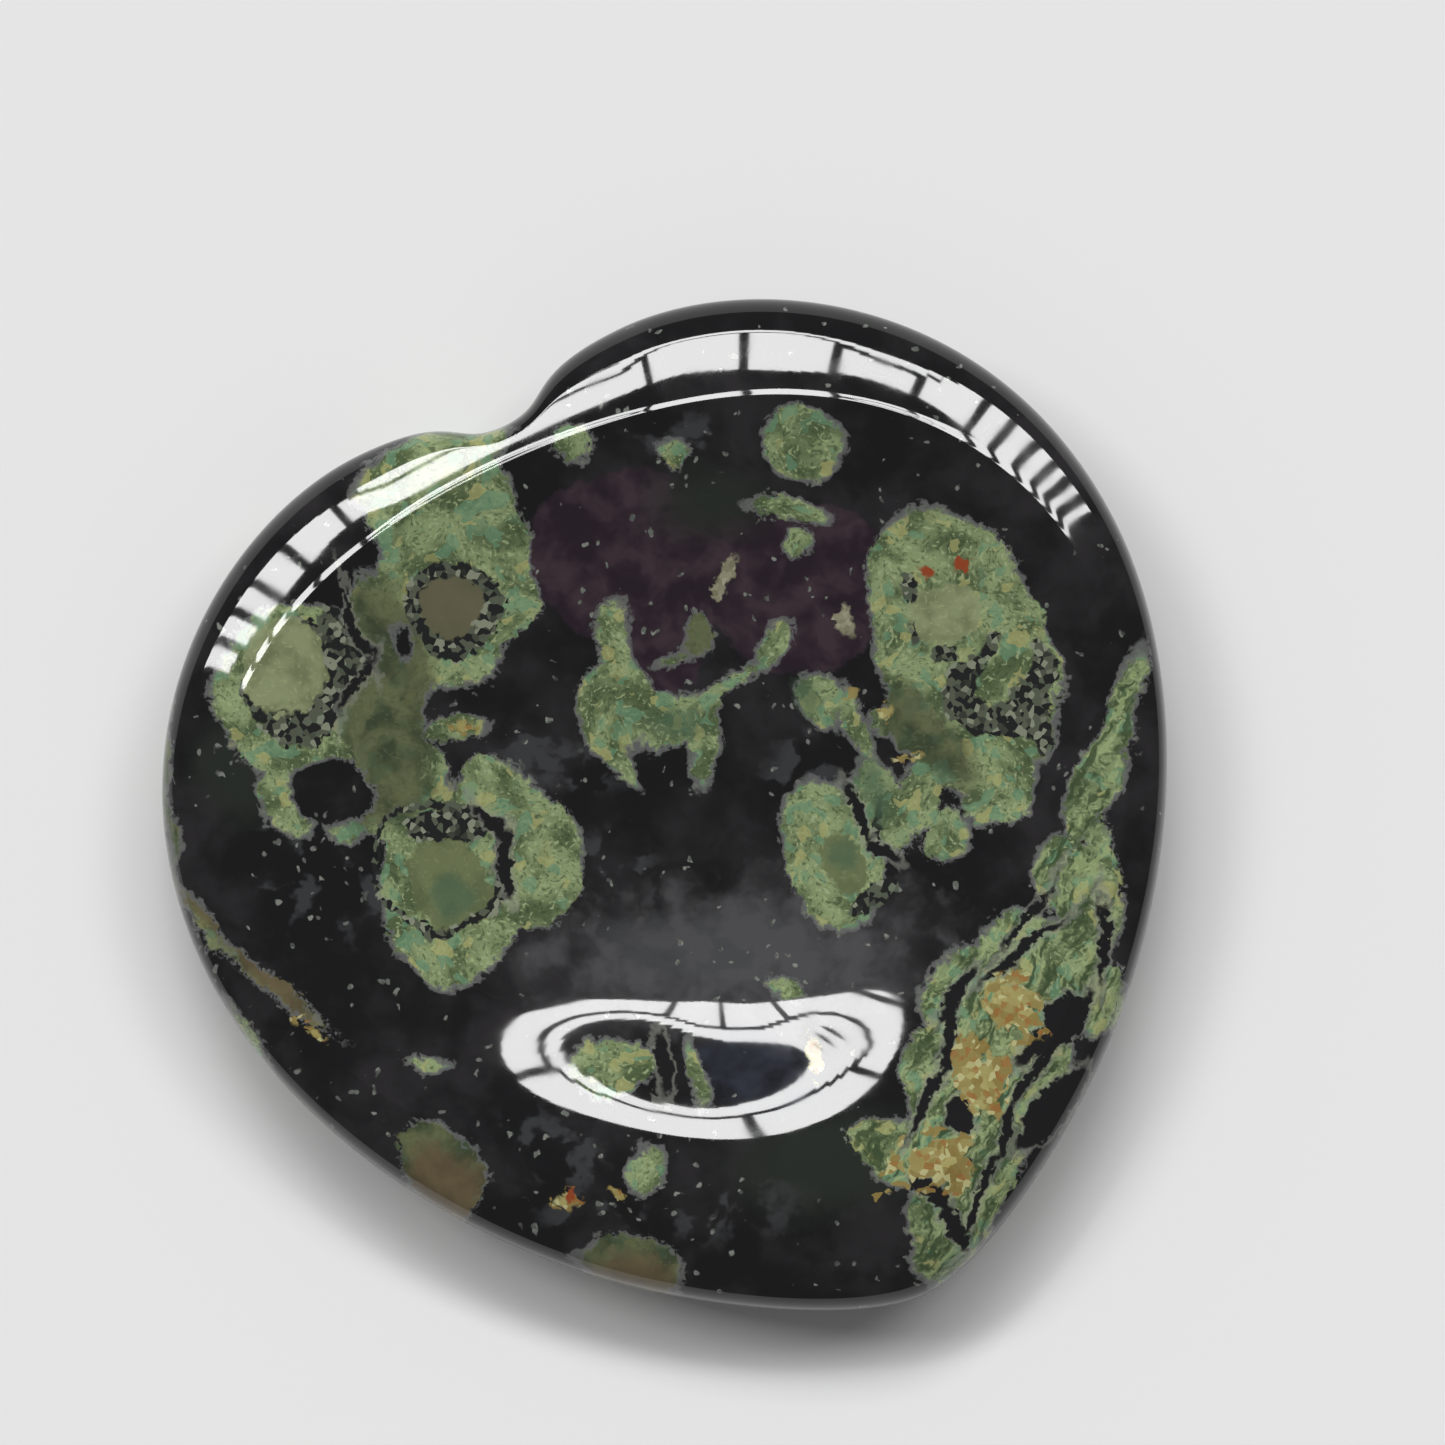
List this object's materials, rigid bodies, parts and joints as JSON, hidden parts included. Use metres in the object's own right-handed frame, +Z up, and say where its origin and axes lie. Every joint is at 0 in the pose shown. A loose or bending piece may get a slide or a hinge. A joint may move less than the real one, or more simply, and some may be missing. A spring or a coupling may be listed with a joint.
{
  "type": "kambaba jasper worry stone",
  "caption": "Heart-shaped polished stone for the palm, with rounded sides, a flat base to rest on and a broad shallow thumb dish ground into its top.",
  "frame": {"origin": "middle of the flat base, on the surface that the stone lies on", "axes": "+Z up through the thickness, +Y towards the heart's notch, +X across it"},
  "size_m": [0.0406, 0.0402, 0.0069],
  "materials": {
    "kambaba_jasper": "polished, near black with green orbs, veins and patches"
  },
  "bodies": {
    "root": {"stone": "kambaba_jasper"}
  },
  "joints": []
}
